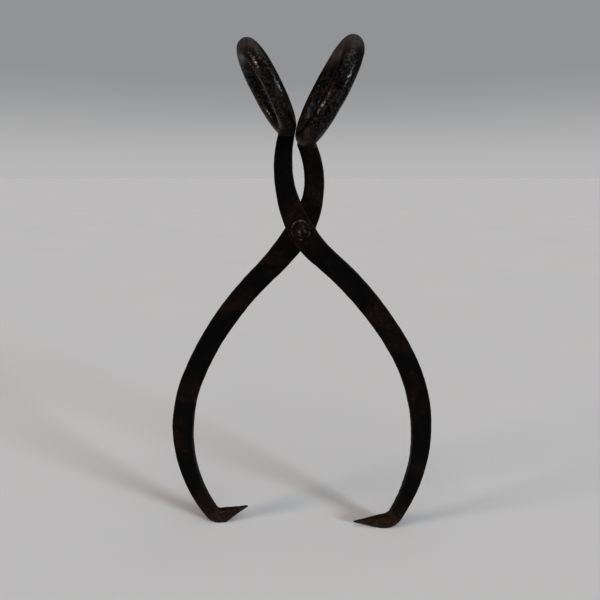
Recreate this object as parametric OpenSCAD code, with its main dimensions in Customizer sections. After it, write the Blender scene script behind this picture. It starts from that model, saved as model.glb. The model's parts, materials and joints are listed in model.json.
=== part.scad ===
// Ice tongs: two forged iron arms that cross on one rivet.
// Each arm is a flat bar with a ring handle welded on its top end and a sharp hook at its foot.
// X runs across the jaws, Y from the front to the back, Z up. The origin is on the floor under the rivet.

/* [Bar] */
// Thickness of the flat bar, front to back
bar_t = 10; // [8:0.5:12]
// Width of the bar at the rivet
rivet_w = 28.6; // [24:0.2:32]
// Width of the bar at its narrowest, below the flare
waist_w = 24.8; // [22:0.2:26]
// Width of the bar at its widest, in the lower bow
belly_w = 25.4; // [24:0.2:28]
// Width of the bar above the heel
ankle_w = 16.8; // [14:0.2:20]
// Width of the bar where the point begins
heel_w = 17.2; // [14:0.2:20]
// Width and thickness of the blunt end of the point
tip_w = 1.6; // [0.8:0.2:3]
// Share of the lower bow at which the bar is widest
belly_at = 0.3; // [0.1:0.05:0.6]
// Height of the rivet's axis above the worn flats of the heels
pivot_z = 381.5; // [380.8:0.1:381.8]

/* [Front arm] */
// Slope of the bar at the rivet, in degrees from upright
front_slope = 30.5; // [29:0.1:32]
// Radii of the flare, the upper bow, the lower bow and the heel
front_radii = [120, 415, 242, 20]; // [12:0.5:450]
// Turns of the flare, the upper bow, the lower bow and the heel, in degrees
front_turns = [19, 18.5, 57, 63.5]; // [10:0.5:90]
// Length of the point beyond the heel
front_point_l = 35.5; // [25:0.5:45]
// Radius of the shank between the rivet and the ring
front_shank_r = 130; // [125:1:135]
// Length of the shank from the rivet to the middle of the ring's bar
front_shank_l = 104; // [102:0.5:106]
// Width of the shank where its middle width is reached
front_shank_w = 21; // [18:0.2:23]

/* [Rear arm] */
// Slope of the bar at the rivet, in degrees from upright
rear_slope = 32.9; // [32:0.1:34]
// Radii of the flare, the upper bow, the lower bow and the heel
rear_radii = [285, 390, 210.5, 13]; // [12:0.5:450]
// Turns of the flare, the upper bow, the lower bow and the heel, in degrees
rear_turns = [13, 23, 53.5, 83]; // [10:0.5:90]
// Length of the point beyond the heel
rear_point_l = 34; // [25:0.5:45]
// Radius of the shank between the rivet and the ring
rear_shank_r = 90; // [88:1:92]
// Length of the shank from the rivet to the middle of the ring's bar
rear_shank_l = 95.5; // [93:0.5:97]
// Width of the shank where its middle width is reached
rear_shank_w = 21.8; // [18:0.2:23]

/* [Front ring] */
// Radius of the middle line of the ring's round bar
front_ring_r = 41; // [40:0.5:43]
// Diameter of the ring's round bar
front_ring_d = 18; // [17:0.2:19]
// Middle of the ring, from the rivet's axis between the two arms
front_ring_at = [-34, 3, 138.5]; // [-40:0.5:140]
// Lean of the ring to the right, in degrees (it leans left)
front_ring_lean = -29.5; // [-31:0.5:-27]
// Turn of the ring's back edge to the left, in degrees
front_ring_twist = 8.5; // [5:0.5:12]

/* [Rear ring] */
// Radius of the middle line of the ring's round bar
rear_ring_r = 46.5; // [46:0.5:48]
// Diameter of the ring's round bar
rear_ring_d = 20.4; // [19:0.2:21]
// Middle of the ring, from the rivet's axis between the two arms
rear_ring_at = [27, 0, 135]; // [-10:0.5:140]
// Lean of the ring to the right, in degrees
rear_ring_lean = 27.5; // [26:0.5:29]
// Turn of the ring's back edge to the left, in degrees
rear_ring_twist = 10; // [7:0.5:12]

/* [Rivet] */
// Diameter of the rivet
rivet_d = 10; // [8:0.5:12]
// Clearance all round the rivet in its holes
rivet_fit = 0.05; // [0.02:0.01:0.1]
// Diameter of the washer under the peened head
washer_d = 21.4; // [18:0.2:24]
// Thickness of the washer
washer_t = 1.8; // [1:0.2:3]
// Diameter of the peened head
peen_d = 13.4; // [12:0.2:16]
// Height of the peened head
peen_h = 3.4; // [2:0.2:5]
// Diameter of the round head at the back
head_d = 20; // [16:0.5:24]
// Height of the round head at the back
head_h = 5; // [3:0.5:7]
// Side play between the arms
play = 0.2; // [0.1:0.05:0.5]

/* [Hidden] */
// Turn between two corners of a bar's outline, in degrees
step_a = 3;
// Distance down the bar from the rivet to the end of the shank piece
eye_reach = 24;
// Share of the ring's bar that the top of the shank spans
shank_span = 0.93;
// Share of the shank at which its middle width is reached
shank_mid = 0.4;
ring_pivot = [0, 0, pivot_z];
hole_r = rivet_d / 2 + rivet_fit;
front_y = -play / 2;
rear_y = play / 2;
$fn = 96;

// A station on a bar is [point, slope, width]. The slope is the direction of travel, in degrees
// from straight down towards the jaw's side, and the point is [x, z].

// Point reached from p after a turn of a degrees on radius r, where a positive turn flares out
function along(p, slope, r, a) =
    p + sign(a) * r * [cos(slope) - cos(slope + a), sin(slope) - sin(slope + a)];

// Stations of one stretch, from share `from` to the end, with its widths as a table over the share
function stretch(start, r, a, widths, from = 0) =
    let (count = ceil(abs(a) * (1 - from) / step_a))
    [for (i = [0 : count])
        let (f = from + (1 - from) * i / count)
        [along(start[0], start[1], r, a * f), start[1] + a * f, lookup(f, widths)]];

function last(list) = list[len(list) - 1];
function side(slope) = [cos(slope), sin(slope)];

// Closed outline of a bar: down its outer edge and back up its inner edge
function outline(stations) = concat(
    [for (s = stations) s[0] + side(s[1]) * s[2] / 2],
    [for (i = [len(stations) - 1 : -1 : 0]) stations[i][0] - side(stations[i][1]) * stations[i][2] / 2]
);

// Stretches of one arm, from its slope, radii and turns
function at_rivet(slope) = [[0, pivot_z], slope, rivet_w];
function reach_share(radii, turns) = eye_reach / (radii[0] * turns[0] * PI / 180);
function flare(slope, radii, turns, from = 0) =
    stretch(at_rivet(slope), radii[0], turns[0], [[0, rivet_w], [1, waist_w]], from);
function upper_bow(slope, radii, turns) =
    stretch(last(flare(slope, radii, turns)), radii[1], -turns[1], [[0, waist_w], [1, waist_w]]);
function lower_bow(slope, radii, turns) =
    stretch(last(upper_bow(slope, radii, turns)), radii[2], -turns[2],
        [[0, waist_w], [belly_at, belly_w], [1, ankle_w]]);
function heel(slope, radii, turns) =
    stretch(last(lower_bow(slope, radii, turns)), radii[3], -turns[3], [[0, ankle_w], [1, heel_w]]);
function point_end(root, length) =
    [root[0] + length * [sin(root[1]), -cos(root[1])], root[1], tip_w];

// Stations of the shank, from the end inside the ring's bar down to the rivet
function shank(slope, r, length, mid_w, top_w) =
    let (a = length / r * 180 / PI, count = ceil(a / step_a))
    [for (i = [count : -1 : 1])
        let (f = i / count)
        [along([0, pivot_z], slope + 180, r, -a * f), slope - a * f,
            lookup(f, [[0, rivet_w], [shank_mid, mid_w], [1, top_w]])]];

// A flat bar from its stations, with its back face on y = 0
module bar(stations) {
    rotate([90, 0, 0])
        linear_extrude(bar_t)
            polygon(outline(stations));
}

// Puts a bar in the front layer as it is, or in the rear layer with its jaw on the left
module in_front() {
    translate([0, front_y, 0]) children();
}

module in_rear() {
    translate([0, rear_y + bar_t, 0])
        mirror([1, 0, 0])
            children();
}

module rivet_hole() {
    translate([0, bar_t, pivot_z])
        rotate([90, 0, 0])
            cylinder(r = hole_r, h = 3 * bar_t);
}

module ring(at, r, d, lean, twist) {
    translate(ring_pivot + at)
        rotate([0, lean, 0])
            rotate([0, 0, twist])
                rotate([0, 90, 0])
                    rotate_extrude()
                        translate([r, 0])
                            circle(d = d);
}

// The shank with the rivet's eye, down to where the jaw arm begins
module shank_bar(slope, radii, turns, shank_r, shank_l, mid_w, top_w) {
    share = reach_share(radii, turns);
    reach = stretch(at_rivet(slope), radii[0], turns[0] * share,
        [[0, rivet_w], [1, rivet_w + (waist_w - rivet_w) * share]]);
    difference() {
        bar(concat(shank(slope, shank_r, shank_l, mid_w, top_w), reach));
        rivet_hole();
    }
}

module jaw_bar(slope, radii, turns) {
    start = flare(slope, radii, turns, reach_share(radii, turns));
    upper = upper_bow(slope, radii, turns);
    lower = lower_bow(slope, radii, turns);
    bar(concat(start, [for (i = [1 : len(upper) - 1]) upper[i]], [for (i = [1 : len(lower) - 1]) lower[i]]));
}

// The hook: the bar bent round the heel and drawn to a point, with a worn flat on its underside
module hook_bar(slope, radii, turns, point_l) {
    bend = heel(slope, radii, turns);
    root = last(bend);
    tip = point_end(root, point_l);
    mid_y = -bar_t / 2;
    intersection() {
        bar(concat(bend, [tip]));
        linear_extrude(pivot_z)
            polygon([
                [2 * root[0][0], -bar_t],
                [root[0][0], -bar_t],
                [tip[0][0] - tip_w, mid_y - tip_w / 2],
                [tip[0][0] - tip_w, mid_y + tip_w / 2],
                [root[0][0], 0],
                [2 * root[0][0], 0]
            ]);
    }
}

// A round cap of diameter d and height h, with its flat side on z = 0
module cap(d, h) {
    ball_r = (d * d / 4 + h * h) / (2 * h);
    intersection() {
        translate([0, 0, h - ball_r]) sphere(ball_r);
        cylinder(d = d, h = h);
    }
}

module front_handle_ring() {
    color("#4a413c")
        ring(front_ring_at, front_ring_r, front_ring_d, front_ring_lean, front_ring_twist);
}

module front_shank() {
    color("#352c29")
        difference() {
            in_front()
                shank_bar(front_slope, front_radii, front_turns, front_shank_r, front_shank_l,
                    front_shank_w, shank_span * front_ring_d);
            front_handle_ring();
        }
}

module front_jaw_arm() {
    color("#302826")
        in_front() jaw_bar(front_slope, front_radii, front_turns);
}

module front_hook() {
    color("#4b3a30")
        in_front() hook_bar(front_slope, front_radii, front_turns, front_point_l);
}

module rear_handle_ring() {
    color("#4a413c")
        ring(rear_ring_at, rear_ring_r, rear_ring_d, rear_ring_lean, rear_ring_twist);
}

module rear_shank() {
    color("#352c29")
        difference() {
            in_rear()
                shank_bar(rear_slope, rear_radii, rear_turns, rear_shank_r, rear_shank_l,
                    rear_shank_w, shank_span * rear_ring_d);
            rear_handle_ring();
        }
}

module rear_jaw_arm() {
    color("#302826")
        in_rear() jaw_bar(rear_slope, rear_radii, rear_turns);
}

module rear_hook() {
    color("#4b3a30")
        in_rear() hook_bar(rear_slope, rear_radii, rear_turns, rear_point_l);
}

// The rivet: a round head at the back, and an end peened over the washer in front
module rivet() {
    seat_front = front_y - bar_t - washer_t;
    seat_rear = rear_y + bar_t + play / 2;
    color("#5a4435")
        translate([0, 0, pivot_z]) {
            translate([0, seat_rear + 1, 0])
                rotate([90, 0, 0])
                    cylinder(d = rivet_d, h = seat_rear - seat_front + 2);
            translate([0, seat_front, 0])
                rotate([90, 0, 0])
                    cap(peen_d, peen_h);
            translate([0, seat_rear, 0])
                rotate([-90, 0, 0])
                    cap(head_d, head_h);
        }
}

module rivet_washer() {
    color("#4f3d33")
        translate([0, front_y - bar_t, pivot_z])
            rotate([90, 0, 0])
                difference() {
                    cylinder(d = washer_d, h = washer_t);
                    translate([0, 0, -washer_t]) cylinder(r = hole_r, h = 3 * washer_t);
                }
}

front_handle_ring();
front_shank();
front_jaw_arm();
front_hook();
rear_handle_ring();
rear_shank();
rear_jaw_arm();
rear_hook();
rivet();
rivet_washer();
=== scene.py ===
import json
import math

import bmesh
import bpy
import numpy as np
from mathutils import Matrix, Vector


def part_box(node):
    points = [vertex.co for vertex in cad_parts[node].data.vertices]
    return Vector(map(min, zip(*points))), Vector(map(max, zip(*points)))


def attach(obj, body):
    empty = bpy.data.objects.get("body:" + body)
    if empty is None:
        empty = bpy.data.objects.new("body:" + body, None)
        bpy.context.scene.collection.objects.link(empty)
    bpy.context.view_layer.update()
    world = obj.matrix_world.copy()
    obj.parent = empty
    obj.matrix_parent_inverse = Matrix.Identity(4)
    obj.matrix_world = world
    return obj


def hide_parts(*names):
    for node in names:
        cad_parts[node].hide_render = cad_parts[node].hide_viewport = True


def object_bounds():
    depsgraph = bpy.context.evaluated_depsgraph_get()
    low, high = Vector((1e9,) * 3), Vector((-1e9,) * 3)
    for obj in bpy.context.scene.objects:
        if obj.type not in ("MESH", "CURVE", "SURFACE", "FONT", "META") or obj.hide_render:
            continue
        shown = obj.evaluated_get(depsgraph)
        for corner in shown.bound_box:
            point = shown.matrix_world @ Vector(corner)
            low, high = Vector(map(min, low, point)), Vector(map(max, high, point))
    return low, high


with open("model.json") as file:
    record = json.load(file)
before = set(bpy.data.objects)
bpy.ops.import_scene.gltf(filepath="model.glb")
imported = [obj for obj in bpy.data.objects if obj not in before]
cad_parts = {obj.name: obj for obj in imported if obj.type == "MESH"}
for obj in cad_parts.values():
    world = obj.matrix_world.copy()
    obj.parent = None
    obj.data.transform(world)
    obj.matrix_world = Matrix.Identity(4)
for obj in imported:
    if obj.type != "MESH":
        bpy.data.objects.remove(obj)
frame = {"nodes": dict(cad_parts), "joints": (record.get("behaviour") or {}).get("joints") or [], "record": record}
cad_box = [list(corner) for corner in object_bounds()]

# Looks of a pair of hand-forged ice tongs. The CAD solids of each arm are joined into one forging, whose
# surface is remade as an even mesh, worn, hammered and pitted, and cut again into the named pieces.

MM = 0.001
ARMS = {
    "front_arm": ["front_handle_ring", "front_shank", "front_jaw_arm", "front_hook"],
    "rear_arm": ["rear_handle_ring", "rear_shank", "rear_jaw_arm", "rear_hook"],
}
SLOTS = {row["node"]: row["material_slot"] for row in frame["record"]["subparts"]}
PIVOT = Vector(frame["joints"][0]["pos_m"])

# Surface of the forgings
FORGE_CELL = 0.7 * MM
RIVET_CELL = 0.35 * MM
EDGE_WEAR_STEPS = 12
RIVET_WEAR_STEPS = 14
BURRS = {"front_arm": (0.0905, -0.006, 0.0132), "rear_arm": (-0.0960, 0.004, 0.0180)}
BURR_SIZE = 2.2 * MM
BURR_HEIGHT = 1.0 * MM

# Marks in the surface: how many, how wide and how deep
BAR_MARKS = (520, 7.5 * MM, 0.20 * MM)
RING_MARKS = (90, 8 * MM, 0.16 * MM)
EDGE_NICKS = (70, 2.4 * MM, 0.35 * MM)
RIVET_MARKS = (46, 3.2 * MM, 0.6 * MM)
WASHER_MARKS = (26, 4 * MM, 0.2 * MM)

# Convexity at which a wear mask starts and is full; on the rivet the mask also lays a painted highlight on the
# rims and dome
EDGE_BEND = (0.035, 0.070)
WORN_BEND = (0.035, 0.095)
RIVET_WEAR_AND_HIGHLIGHT_BEND = (0.006, 0.030)

# The arms lie on each other here, so their relief only goes inward on the side that faces the other arm
INWARD = {"front_arm": 1, "rear_arm": -1}
MATING_REACH = 125 * MM
ARMS_OUTSIDE = 10.4 * MM

# How far round a joint between two pieces the forging is searched for the cut
WELD_REACH = 20 * MM
SHANK_REACH = 26 * MM
HEEL_REACH = 18 * MM
SCRAP_FACES = 500

# Colours of the iron, from scale to bare metal
SCALE_BLACK = (0.0019, 0.0015, 0.0015, 1)
PATINA_BROWN = (0.0115, 0.0062, 0.0042, 1)
HEEL_BROWN = (0.0200, 0.0120, 0.0075, 1)
RUST = (0.078, 0.042, 0.023, 1)
# Bare metal on worn edges; on the rivet's rims and dome it is also a painted highlight
WORN_EDGE_AND_HIGHLIGHT = (0.110, 0.084, 0.067, 1)
FILED_TIP = (0.0080, 0.0086, 0.0105, 1)
HANDLED_BLACK = (0.0018, 0.0013, 0.0012, 1)
HANDLED_TAN = (0.025, 0.0145, 0.0098, 1)
# Painted top light: the grey laid on the top of the rings
CROWN_TOP_LIGHT_GREY = (0.062, 0.051, 0.045, 1)
WELD_BROWN = (0.030, 0.0175, 0.0115, 1)
# Dirt and painted shade for the rings' hollows, such as the seam at the weld
DIRT_AND_SHADE = (0.0035, 0.0025, 0.0022, 1)

# Floor and backdrop
FLOOR_SIZE = 60.0
FLOOR_DARK = (0.70, 0.70, 0.705, 1)
FLOOR_LIGHT = (0.735, 0.735, 0.735, 1)
HORIZON = (0.460, 0.458, 0.460, 1)
BACKDROP = (0.300, 0.304, 0.312, 1)
ROOM_LIGHT = (0.055, 0.055, 0.058, 1)
HORIZON_FADE = 0.20

# Lights: azimuth, elevation and apparent width in degrees, strength and colour
LIGHTS = {
    "window_right": (57, 16, 14, 2.3, (0.86, 0.93, 1.0)),
    "lamp_left": (-72, 13, 14, 1.75, (1.0, 0.84, 0.70)),
    "ceiling": (20, 70, 70, 1.05, (1.0, 0.99, 0.98)),
}
EXPOSURE = 0.25
GAMMA = 0.82

# The photograph's camera
CAMERA_AT = (-0.0007, -0.4889, 0.4379)
CAMERA_DOWN = 15.53
CAMERA_LENS = 27.06


# ---------------------------------------------------------------- mesh arrays

def coordinates(mesh):
    co = np.empty(len(mesh.vertices) * 3)
    mesh.vertices.foreach_get("co", co)
    return co.reshape(-1, 3)


def set_coordinates(mesh, co):
    mesh.vertices.foreach_set("co", co.ravel())
    mesh.update()


def normals(mesh):
    n = np.empty(len(mesh.vertices) * 3)
    mesh.vertex_normals.foreach_get("vector", n)
    return n.reshape(-1, 3)


def distances(co, point):
    return np.linalg.norm(co - np.array(point), axis=1)


def edge_ends(mesh):
    ends = np.empty(len(mesh.edges) * 2, dtype=np.int64)
    mesh.edges.foreach_get("vertices", ends)
    ends = ends.reshape(-1, 2)
    return ends[:, 0], ends[:, 1]


def neighbour_mean(values, a, b):
    """The mean of each vertex's neighbours, for values of shape (vertices,) or (vertices, 3)."""
    total = np.zeros_like(values)
    np.add.at(total, a, values[b])
    np.add.at(total, b, values[a])
    count = np.bincount(a, minlength=len(values)) + np.bincount(b, minlength=len(values))
    count = np.maximum(count, 1)
    return total / (count[:, None] if values.ndim == 2 else count)


def smooth(mesh, steps, weight=1.0):
    """Relaxes the surface, so that sharp edges wear round. weight is a share per vertex, or one for all."""
    co = coordinates(mesh)
    a, b = edge_ends(mesh)
    share = 0.5 * (weight[:, None] if np.ndim(weight) else weight)
    for _ in range(steps):
        co += share * (neighbour_mean(co, a, b) - co)
    set_coordinates(mesh, co)


def convexity(mesh):
    """How much each vertex stands proud of its neighbours: about 1 on a worn edge, below 0 in a pit."""
    co, n = coordinates(mesh), normals(mesh)
    a, b = edge_ends(mesh)
    step = co[b] - co[a]
    length = np.linalg.norm(step, axis=1) + 1e-9
    out = np.zeros(len(co))
    np.add.at(out, a, -(n[a] * step).sum(1) / length)
    np.add.at(out, b, (n[b] * step).sum(1) / length)
    count = np.bincount(a, minlength=len(co)) + np.bincount(b, minlength=len(co))
    out /= np.maximum(count, 1)
    for _ in range(3):
        out = 0.4 * out + 0.6 * neighbour_mean(out, a, b)
    return out


# ---------------------------------------------------------------- noise

def lattice(ix, iy, iz, seed):
    """A repeatable number from -1 to 1 for each lattice corner."""
    h = (ix * 374761393 + iy * 668265263 + iz * 2147483647 + seed * 1274126177) & 0xFFFFFFFF
    h = ((h ^ (h >> 13)) * 1274126177) & 0xFFFFFFFF
    h = ((h ^ (h >> 16)) * 2246822519) & 0xFFFFFFFF
    return ((h ^ (h >> 15)) & 0xFFFF) / 32767.5 - 1.0


def value_noise(points, size, seed):
    """Smooth noise from -1 to 1 whose features are about `size` metres across."""
    q = points / size
    base = np.floor(q).astype(np.int64)
    f = q - base
    f = f * f * (3 - 2 * f)
    out = np.zeros(len(points))
    for dx in (0, 1):
        for dy in (0, 1):
            for dz in (0, 1):
                w = np.abs(1 - dx - f[:, 0]) * np.abs(1 - dy - f[:, 1]) * np.abs(1 - dz - f[:, 2])
                out += w * lattice(base[:, 0] + dx, base[:, 1] + dy, base[:, 2] + dz, seed)
    return out


def smoothstep(low, high, x):
    t = np.clip((x - low) / (high - low), 0, 1)
    return t * t * (3 - 2 * t)


# ---------------------------------------------------------------- forging

def joined_copy(nodes, name):
    """One new mesh object that holds copies of the CAD nodes' surfaces."""
    bm = bmesh.new()
    for node in nodes:
        bm.from_mesh(frame["nodes"][node].data)
    bmesh.ops.remove_doubles(bm, verts=bm.verts, dist=1e-6)
    mesh = bpy.data.meshes.new(name)
    bm.to_mesh(mesh)
    bm.free()
    obj = bpy.data.objects.new(name, mesh)
    bpy.context.scene.collection.objects.link(obj)
    return obj


def remade(obj, cell):
    """The object with its surface remade as even quads of that size."""
    remesh = obj.modifiers.new("even", "REMESH")
    remesh.mode = "VOXEL"
    remesh.voxel_size = cell
    evaluated = obj.evaluated_get(bpy.context.evaluated_depsgraph_get())
    mesh = bpy.data.meshes.new_from_object(evaluated)
    obj.modifiers.clear()
    old = obj.data
    obj.data = mesh
    bpy.data.meshes.remove(old)
    return obj


def hammer(co, n, rng, marks, where):
    """Shallow round marks pressed in at random places where `where` is true."""
    count, reach, depth = marks
    out = np.zeros(len(co))
    spots = rng.choice(np.flatnonzero(where), size=count, replace=False)
    for spot in spots:
        r = reach * rng.uniform(0.6, 1.4)
        d = depth * rng.uniform(0.4, 1.3)
        near = np.flatnonzero(np.abs(co[:, 2] - co[spot, 2]) < r)
        gap = np.linalg.norm(co[near] - co[spot], axis=1)
        hit = near[gap < r]
        fall = 1 - (gap[gap < r] / r) ** 2
        facing = np.clip(n[hit] @ n[spot], 0, 1)
        out[hit] = np.minimum(out[hit], -d * fall * fall * facing)
    return out


def forge(arm, seed, ring, tip):
    """Wears, hammers and pits an arm's even mesh."""
    mesh = arm.data
    to_tip = distances(coordinates(mesh), tip)
    smooth(mesh, EDGE_WEAR_STEPS, 0.12 + 0.88 * smoothstep(2 * MM, 16 * MM, to_tip))

    co, n = coordinates(mesh), normals(mesh)
    ring_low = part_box(ring)[0].z
    on_ring = smoothstep(ring_low - 4 * MM, ring_low + 6 * MM, co[:, 2])
    relief = forged_relief(arm.name, co, n, convexity(mesh), on_ring, seed)
    slender = smoothstep(3 * MM, 22 * MM, to_tip)
    set_coordinates(mesh, co + n * (relief * (0.15 + 0.85 * slender))[:, None])
    smooth(mesh, 1, 0.5)
    set_coordinates(mesh, np.clip(coordinates(mesh), *cad_box))


def forged_relief(body, co, n, bend, on_ring, seed):
    """How far each vertex moves along its normal: swells, the burr, hammer marks, nicks, pits and grain."""
    rng = np.random.default_rng(seed)
    edge = smoothstep(*EDGE_BEND, bend)
    bar = 1 - on_ring
    burr = np.exp(-(distances(co, BURRS[body]) / BURR_SIZE) ** 2)
    relief = 0.34 * MM * value_noise(co, 34 * MM, seed) + BURR_HEIGHT * burr
    relief += 0.13 * MM * value_noise(co, 11 * MM, seed + 1) * (0.6 + 0.4 * bar)
    relief += hammer(co, n, rng, BAR_MARKS, bar > 0.5) * (1 - 0.3 * edge)
    relief += hammer(co, n, rng, RING_MARKS, on_ring > 0.5)
    relief += hammer(co, n, rng, EDGE_NICKS, (edge > 0.6) & (bar > 0.5))
    patches = smoothstep(-0.1, 0.6, value_noise(co, 16 * MM, seed + 2))
    pits = smoothstep(0.35, 0.9, value_noise(co, 2.2 * MM, seed + 3))
    relief -= 0.14 * MM * pits * patches * (0.35 + 0.65 * bar)
    relief += 0.03 * MM * value_noise(co, 1.1 * MM, seed + 4)
    toward_other = n[:, 1] * INWARD[body] > 0.3
    mating = toward_other & (distances(co, PIVOT) < MATING_REACH)
    return np.where(mating, np.minimum(relief, 0), relief)


def put_values(mesh, name, values):
    layer = mesh.attributes.new(name, "FLOAT", "POINT")
    layer.data.foreach_set("value", values.astype(np.float32))


def mark_wear(mesh, worn_bend):
    """Stores on each vertex how proud (worn, on the rivet also a painted highlight) and how sunken it lies (rust
    in the iron's hollows, grime and painted shade in the rings' hollows).
    """
    bend = convexity(mesh)
    put_values(mesh, "worn", smoothstep(*worn_bend, bend))
    put_values(mesh, "sunken", smoothstep(0.0, -0.05, bend))


# ---------------------------------------------------------------- cutting an arm into its pieces

def shared_plane(node_a, node_b):
    """The middle and the normal of the flat face where two CAD nodes meet."""
    a = coordinates(frame["nodes"][node_a].data)
    b = {tuple(np.round(p, 6)) for p in coordinates(frame["nodes"][node_b].data)}
    common = np.array([p for p in a if tuple(np.round(p, 6)) in b])
    middle = (common.min(0) + common.max(0)) / 2
    normal = np.linalg.svd(common - common.mean(0))[2][2]
    return Vector(middle), Vector(normal)


def ring_plane(ring, shank):
    """A level plane just under the ring, where the shank's top is welded to it."""
    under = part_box(ring)[0].z - 0.3 * MM
    points = coordinates(frame["nodes"][shank].data)
    top = points[points[:, 2] > under - 4 * MM]
    middle = (top.min(0) + top.max(0)) / 2
    return Vector((middle[0], middle[1], under)), Vector((0, 0, 1))


def cut_apart(bm, middle, normal, reach):
    """Cuts the bar at a plane near `middle` and closes both ends."""
    faces = [f for f in bm.faces if (f.calc_center_median() - middle).length < reach]
    verts = dict.fromkeys(v for f in faces for v in f.verts)
    edges = dict.fromkeys(e for f in faces for e in f.edges)
    geom = [*verts, *edges, *faces]
    cut = bmesh.ops.bisect_plane(bm, geom=geom, plane_co=middle, plane_no=normal, dist=1e-7)["geom_cut"]
    cut_edges = [g for g in cut if isinstance(g, bmesh.types.BMEdge)]
    bmesh.ops.split_edges(bm, edges=cut_edges)
    rims = [e for e in bm.edges if e.is_boundary]
    caps = bmesh.ops.holes_fill(bm, edges=rims, sides=0)["faces"]
    for cap in caps:
        for e in cap.edges:
            e.smooth = False
    bmesh.ops.triangulate(bm, faces=caps)


def islands(bm):
    """Lists of the faces of each separate closed surface, in the order of the faces' indices."""
    seen, found = set(), []
    for first in bm.faces:
        if first.index in seen:
            continue
        seen.add(first.index)
        stack, group = [first], []
        while stack:
            face = stack.pop()
            group.append(face)
            for e in face.edges:
                for other in e.link_faces:
                    if other.index not in seen:
                        seen.add(other.index)
                        stack.append(other)
        found.append(group)
    return found


def piece_from(bm, faces, name):
    part = bm.copy()
    keep = {f.index for f in faces}
    bmesh.ops.delete(part, geom=[f for f in part.faces if f.index not in keep], context="FACES")
    mesh = bpy.data.meshes.new(name)
    part.to_mesh(mesh)
    part.free()
    obj = bpy.data.objects.new(name, mesh)
    bpy.context.scene.collection.objects.link(obj)
    return obj


def nearest_node(centre, nodes):
    def distance(node):
        return (Vector(coordinates(frame["nodes"][node].data).mean(0)) - centre).length
    return min(nodes, key=distance)


def mark_places(mesh, ring, tip):
    """Stores on each vertex how near it is to the filed tip and to the ring's weld."""
    co = coordinates(mesh)
    weld_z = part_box(ring)[0].z
    put_values(mesh, "ground", smoothstep(15 * MM, 10 * MM, distances(co, tip)))
    put_values(mesh, "weld", smoothstep(weld_z + 16 * MM, weld_z + 5 * MM, co[:, 2]))


def forged_arm(body, materials, seed):
    nodes = ARMS[body]
    ring, shank, jaw, hook = nodes
    arm = remade(joined_copy(nodes, body), FORGE_CELL)
    corners = coordinates(frame["nodes"][hook].data)
    tip = min(corners, key=lambda p: abs(p[0]))
    forge(arm, seed, ring, tip)
    mark_wear(arm.data, WORN_BEND)
    mark_places(arm.data, ring, tip)
    bm = bmesh.new()
    bm.from_mesh(arm.data)
    for f in bm.faces:
        f.smooth = True
    cut_apart(bm, *ring_plane(ring, shank), WELD_REACH)
    cut_apart(bm, *shared_plane(shank, jaw), SHANK_REACH)
    cut_apart(bm, *shared_plane(jaw, hook), HEEL_REACH)
    bm.faces.index_update()
    for group in islands(bm):
        if len(group) < SCRAP_FACES:
            continue
        centre = sum((f.calc_center_median() for f in group), Vector()) / len(group)
        node = nearest_node(centre, nodes)
        dress(piece_from(bm, group, node + "_forged"), body, node, materials[SLOTS[node]])
    bm.free()
    bpy.data.objects.remove(arm)


def dress(piece, body, node, material):
    piece.data.materials.clear()
    piece.data.materials.append(material)
    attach(piece, body)
    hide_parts(node)


def forged_small(node, body, material, seed, marks):
    """A rivet or washer: the CAD shape, worn, hammered and pitted at a finer scale."""
    piece = remade(joined_copy([node], node + "_forged"), RIVET_CELL)
    mesh = piece.data
    smooth(mesh, RIVET_WEAR_STEPS)
    co, n = coordinates(mesh), normals(mesh)
    rng = np.random.default_rng(seed)
    outside = np.abs(co[:, 1]) > ARMS_OUTSIDE
    relief = hammer(co, n, rng, marks, outside)
    relief += 0.34 * MM * value_noise(co, 4.0 * MM, seed) * outside
    relief -= 0.10 * MM * smoothstep(0.3, 0.9, value_noise(co, 1.4 * MM, seed + 1)) * outside
    set_coordinates(mesh, co + n * relief[:, None])
    smooth(mesh, 1, 0.5)
    # On the rivet, the worn mask also lays a painted highlight on the rims and dome.
    mark_wear(mesh, RIVET_WEAR_AND_HIGHLIGHT_BEND)
    for f in mesh.polygons:
        f.use_smooth = True
    dress(piece, body, node, material)


# ---------------------------------------------------------------- materials

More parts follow.
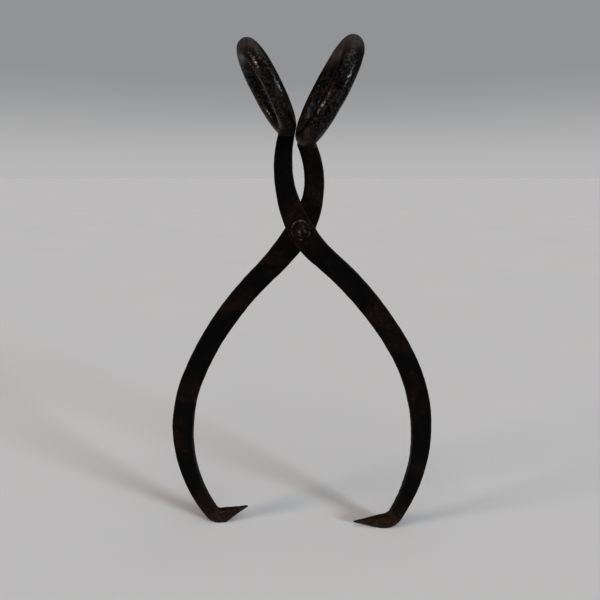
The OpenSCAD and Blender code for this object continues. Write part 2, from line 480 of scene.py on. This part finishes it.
class Nodes:
    """A short way to write a material's node tree."""

    def __init__(self, name):
        self.material = bpy.data.materials.new(name)
        self.material.use_nodes = True
        self.tree = self.material.node_tree
        self.tree.nodes.clear()
        self.out = self.tree.nodes.new("ShaderNodeOutputMaterial")
        self.shader = self.tree.nodes.new("ShaderNodeBsdfPrincipled")
        self.link(self.shader.outputs[0], self.out.inputs["Surface"])
        self.place = self.tree.nodes.new("ShaderNodeTexCoord").outputs["Object"]

    def link(self, source, target):
        self.tree.links.new(source, target)

    def feed(self, target, value):
        if isinstance(value, bpy.types.NodeSocket):
            self.link(value, target)
        else:
            target.default_value = value

    def noise(self, size, detail, rough, distort=0.0):
        node = self.tree.nodes.new("ShaderNodeTexNoise")
        node.inputs["Scale"].default_value = 1 / size
        node.inputs["Detail"].default_value = detail
        node.inputs["Roughness"].default_value = rough
        node.inputs["Distortion"].default_value = distort
        self.link(self.place, node.inputs["Vector"])
        return node.outputs[0]

    def cells(self, size):
        node = self.tree.nodes.new("ShaderNodeTexVoronoi")
        node.inputs["Scale"].default_value = 1 / size
        self.link(self.place, node.inputs["Vector"])
        return node.outputs["Distance"]

    def attribute(self, name):
        node = self.tree.nodes.new("ShaderNodeAttribute")
        node.attribute_name = name
        return node.outputs["Fac"]

    def near(self, point, far, close):
        """1 within `close` metres of a point, falling to 0 at `far`."""
        node = self.tree.nodes.new("ShaderNodeVectorMath")
        node.operation = "DISTANCE"
        self.link(self.place, node.inputs[0])
        node.inputs[1].default_value = point
        return self.remap(node.outputs["Value"], far, close)

    def height(self):
        node = self.tree.nodes.new("ShaderNodeSeparateXYZ")
        self.link(self.place, node.inputs[0])
        return node.outputs["Z"]

    def remap(self, value, low, high, to_low=0.0, to_high=1.0):
        node = self.tree.nodes.new("ShaderNodeMapRange")
        node.interpolation_type = "SMOOTHSTEP"
        self.feed(node.inputs["Value"], value)
        node.inputs["From Min"].default_value = low
        node.inputs["From Max"].default_value = high
        node.inputs["To Min"].default_value = to_low
        node.inputs["To Max"].default_value = to_high
        return node.outputs["Result"]

    def math(self, kind, a, b):
        node = self.tree.nodes.new("ShaderNodeMath")
        node.operation = kind
        node.use_clamp = True
        self.feed(node.inputs[0], a)
        self.feed(node.inputs[1], b)
        return node.outputs[0]

    def mix(self, share, a, b):
        node = self.tree.nodes.new("ShaderNodeMix")
        node.data_type = "RGBA"
        self.feed(node.inputs["Factor"], share)
        self.feed(node.inputs["A"], a)
        self.feed(node.inputs["B"], b)
        return node.outputs["Result"]

    def blend(self, share, a, b):
        node = self.tree.nodes.new("ShaderNodeMix")
        node.data_type = "FLOAT"
        self.feed(node.inputs["Factor"], share)
        self.feed(node.inputs["A"], a)
        self.feed(node.inputs["B"], b)
        return node.outputs["Result"]

    def bump(self, height, distance, strength=1.0, under=None):
        node = self.tree.nodes.new("ShaderNodeBump")
        node.inputs["Strength"].default_value = strength
        node.inputs["Distance"].default_value = distance
        self.link(height, node.inputs["Height"])
        if under is not None:
            self.link(under, node.inputs["Normal"])
        return node.outputs[0]


def iron_bump(n, grit, mottle, dents, strength):
    """Fine grit, rounded pits and low swells, one over the other."""
    swell = n.bump(mottle, 0.5 * MM, 0.5 * strength)
    pitted = n.bump(n.remap(dents, 0.05, 0.45), 0.22 * MM, 0.6 * strength, swell)
    n.link(n.bump(grit, 0.16 * MM, 0.7 * strength, pitted), n.shader.inputs["Normal"])


def forged_iron(name, rust_gain, heel_rust, wear_and_highlight_gain):
    """Near-black scale and brown patina, rusty in the hollows, round the rivet and at the heels, with bare worn
    edges that on the rivet's rims and dome are also a painted highlight.
    """
    n = Nodes(name)
    heel = n.math("MULTIPLY", n.remap(n.height(), 0.050, 0.010), heel_rust)
    eye = n.near(PIVOT, 38 * MM, 12 * MM)
    patch = n.noise(48 * MM, 3, 0.5, 0.6)
    blotch = n.noise(17 * MM, 5, 0.6, 0.4)
    mottle = n.noise(5 * MM, 6, 0.62, 0.3)
    grit = n.noise(1.2 * MM, 5, 0.65)
    worn = n.math("MULTIPLY", n.attribute("worn"), n.remap(mottle, 0.44, 0.64, 0.0, wear_and_highlight_gain))
    brown = n.math("MAXIMUM", n.remap(patch, 0.46, 0.64), n.math("MULTIPLY", eye, 0.8))
    brown = n.math("MULTIPLY", brown, n.remap(blotch, 0.34, 0.58, 0.3, 1.0))
    brown = n.math("MULTIPLY", brown, n.remap(grit, 0.34, 0.66, 0.3, 1.0))
    rust = n.math("MULTIPLY", n.remap(mottle, 0.47, 0.66), n.remap(grit, 0.36, 0.62, 0.1, 1.0))
    rust = n.math("MULTIPLY", rust, n.math("MAXIMUM", heel, n.math("MULTIPLY", brown, rust_gain)))
    rust = n.math("MAXIMUM", rust, n.math("MULTIPLY", n.attribute("sunken"), 0.4 * rust_gain))

    color = n.mix(brown, SCALE_BLACK, PATINA_BROWN)
    color = n.mix(heel, color, HEEL_BROWN)
    color = n.mix(rust, color, RUST)
    # Bare worn edges; with the rivet's full gain the bare rims and dome are also a painted highlight.
    color = n.mix(worn, color, WORN_EDGE_AND_HIGHLIGHT)
    ground = n.attribute("ground")
    color = n.mix(ground, color, FILED_TIP)
    n.link(color, n.shader.inputs["Base Color"])
    rough = n.blend(rust, n.blend(brown, 0.46, 0.60), 0.85)
    rough = n.blend(worn, rough, 0.42)
    n.link(n.blend(ground, rough, 0.33), n.shader.inputs["Roughness"])
    gloss = n.blend(rust, n.blend(worn, 0.065, 0.30), 0.06)
    n.link(n.blend(ground, gloss, 0.42), n.shader.inputs["Specular IOR Level"])
    iron_bump(n, grit, mottle, n.cells(2.6 * MM), 1.0)
    return n.material


def handled_iron(name):
    """Dark iron rubbed glossy by hands, with tan worn patches, a matt crown painted grey as top light, and grime
    and painted shade in the hollows.
    """
    n = Nodes(name)
    # The top of each ring is painted grey as light from above, and made matt.
    crown = n.remap(n.height(), 0.540, 0.560)
    blotch = n.noise(13 * MM, 5, 0.62, 0.5)
    mottle = n.noise(4.2 * MM, 6, 0.64, 0.4)
    grit = n.noise(1.1 * MM, 5, 0.65)
    tan = n.math("MULTIPLY", n.remap(blotch, 0.44, 0.62), n.remap(mottle, 0.38, 0.60, 0.1, 1.0))
    dull_lit_crown = n.math("MULTIPLY", crown, n.remap(mottle, 0.30, 0.62, 0.40, 1.0))
    color = n.mix(tan, HANDLED_BLACK, HANDLED_TAN)
    color = n.mix(dull_lit_crown, color, CROWN_TOP_LIGHT_GREY)
    weld = n.attribute("weld")
    color = n.mix(n.math("MULTIPLY", weld, n.remap(mottle, 0.40, 0.56)), color, WELD_BROWN)
    # Hollows, such as the seam at the weld, are darkened with dirt and painted shade.
    dirt_and_shade = n.attribute("sunken")
    color = n.mix(dirt_and_shade, color, DIRT_AND_SHADE)
    n.link(color, n.shader.inputs["Base Color"])
    matt = n.math("MAXIMUM", n.math("MAXIMUM", dull_lit_crown, weld), dirt_and_shade)
    n.link(n.blend(matt, n.remap(grit, 0.30, 0.70, 0.22, 0.36), 0.50), n.shader.inputs["Roughness"])
    shine = n.blend(n.remap(n.noise(2.2 * MM, 4, 0.7), 0.45, 0.62), 0.04, 0.50)
    n.link(n.blend(matt, shine, 0.20), n.shader.inputs["Specular IOR Level"])
    iron_bump(n, grit, mottle, n.cells(3.1 * MM), 0.5)
    return n.material


def plain_floor():
    n = Nodes("pale_floor")
    color = n.mix(n.noise(0.4, 2, 0.4), FLOOR_DARK, FLOOR_LIGHT)
    n.link(color, n.shader.inputs["Base Color"])
    n.shader.inputs["Roughness"].default_value = 0.85
    n.shader.inputs["Specular IOR Level"].default_value = 0.0
    return n.material


# ---------------------------------------------------------------- studio

def floor():
    bm = bmesh.new()
    bmesh.ops.create_grid(bm, x_segments=1, y_segments=1, size=FLOOR_SIZE)
    mesh = bpy.data.meshes.new("floor")
    bm.to_mesh(mesh)
    bm.free()
    obj = bpy.data.objects.new("floor", mesh)
    bpy.context.scene.collection.objects.link(obj)
    mesh.materials.append(plain_floor())


def lamp(name, azimuth, elevation, width, strength, color):
    """A far light that looks `width` degrees wide. Azimuth 0 is in front of the tongs, 90 to their right."""
    data = bpy.data.lights.new(name, "SUN")
    data.energy = strength
    data.color = color
    data.angle = math.radians(width)
    az, el = math.radians(azimuth), math.radians(elevation)
    toward = Vector((math.sin(az) * math.cos(el), -math.cos(az) * math.cos(el), math.sin(el)))
    obj = bpy.data.objects.new(name, data)
    bpy.context.scene.collection.objects.link(obj)
    obj.location = PIVOT + toward
    obj.rotation_euler = toward.to_track_quat("Z", "Y").to_euler()


def studio():
    for name, values in LIGHTS.items():
        lamp(name, *values)
    room()
    view = bpy.context.scene.view_settings
    view.view_transform = "Standard"
    view.exposure = EXPOSURE
    view.gamma = GAMMA


def room():
    """A pale backdrop that lights the tongs only dimly, as a room behind the camera does."""
    world = bpy.data.worlds.new("room")
    world.use_nodes = True
    tree = world.node_tree
    backdrop = tree.nodes["Background"]
    fade = tree.nodes.new("ShaderNodeMix")
    fade.data_type = "RGBA"
    fade.inputs["A"].default_value = HORIZON
    fade.inputs["B"].default_value = BACKDROP
    tree.links.new(upward(tree), fade.inputs["Factor"])
    tree.links.new(fade.outputs["Result"], backdrop.inputs["Color"])
    dim = tree.nodes.new("ShaderNodeBackground")
    dim.inputs["Color"].default_value = ROOM_LIGHT
    share = tree.nodes.new("ShaderNodeMixShader")
    seen = tree.nodes.new("ShaderNodeLightPath")
    tree.links.new(seen.outputs["Is Camera Ray"], share.inputs[0])
    tree.links.new(dim.outputs[0], share.inputs[1])
    tree.links.new(backdrop.outputs[0], share.inputs[2])
    tree.links.new(share.outputs[0], tree.nodes["World Output"].inputs["Surface"])
    bpy.context.scene.world = world


def upward(tree):
    """0 at the horizon, rising to 1 a little above it."""
    place = tree.nodes.new("ShaderNodeTexCoord")
    split = tree.nodes.new("ShaderNodeSeparateXYZ")
    ramp = tree.nodes.new("ShaderNodeMapRange")
    ramp.interpolation_type = "SMOOTHSTEP"
    ramp.inputs["From Max"].default_value = HORIZON_FADE
    tree.links.new(place.outputs["Generated"], split.inputs[0])
    tree.links.new(split.outputs["Z"], ramp.inputs["Value"])
    return ramp.outputs["Result"]


def camera():
    """Close in front, a little above the rivet, looking slightly down."""
    data = bpy.data.cameras.new("camera")
    data.sensor_width = 36
    data.lens = CAMERA_LENS
    obj = bpy.data.objects.new("camera", data)
    bpy.context.scene.collection.objects.link(obj)
    obj.location = CAMERA_AT
    obj.rotation_euler = (math.radians(90 - CAMERA_DOWN), 0, 0)
    bpy.context.scene.camera = obj


camera()
studio()
floor()
materials = {
    "worn_iron": handled_iron("worn_iron"),
    "forged_iron": forged_iron("forged_iron", 0.40, 0.4, 0.12),
    "rusty_iron": forged_iron("rusty_iron", 0.6, 0.9, 0.20),
    # The rivet's rims and dome are made fully bare, partly as a painted highlight.
    "rivet_iron": forged_iron("rivet_iron", 0.9, 0.0, 1.0),
}
forged_arm("front_arm", materials, 11)
forged_arm("rear_arm", materials, 47)
forged_small("rivet", "front_arm", materials["rivet_iron"], 5, RIVET_MARKS)
forged_small("rivet_washer", "front_arm", materials["rivet_iron"], 8, WASHER_MARKS)
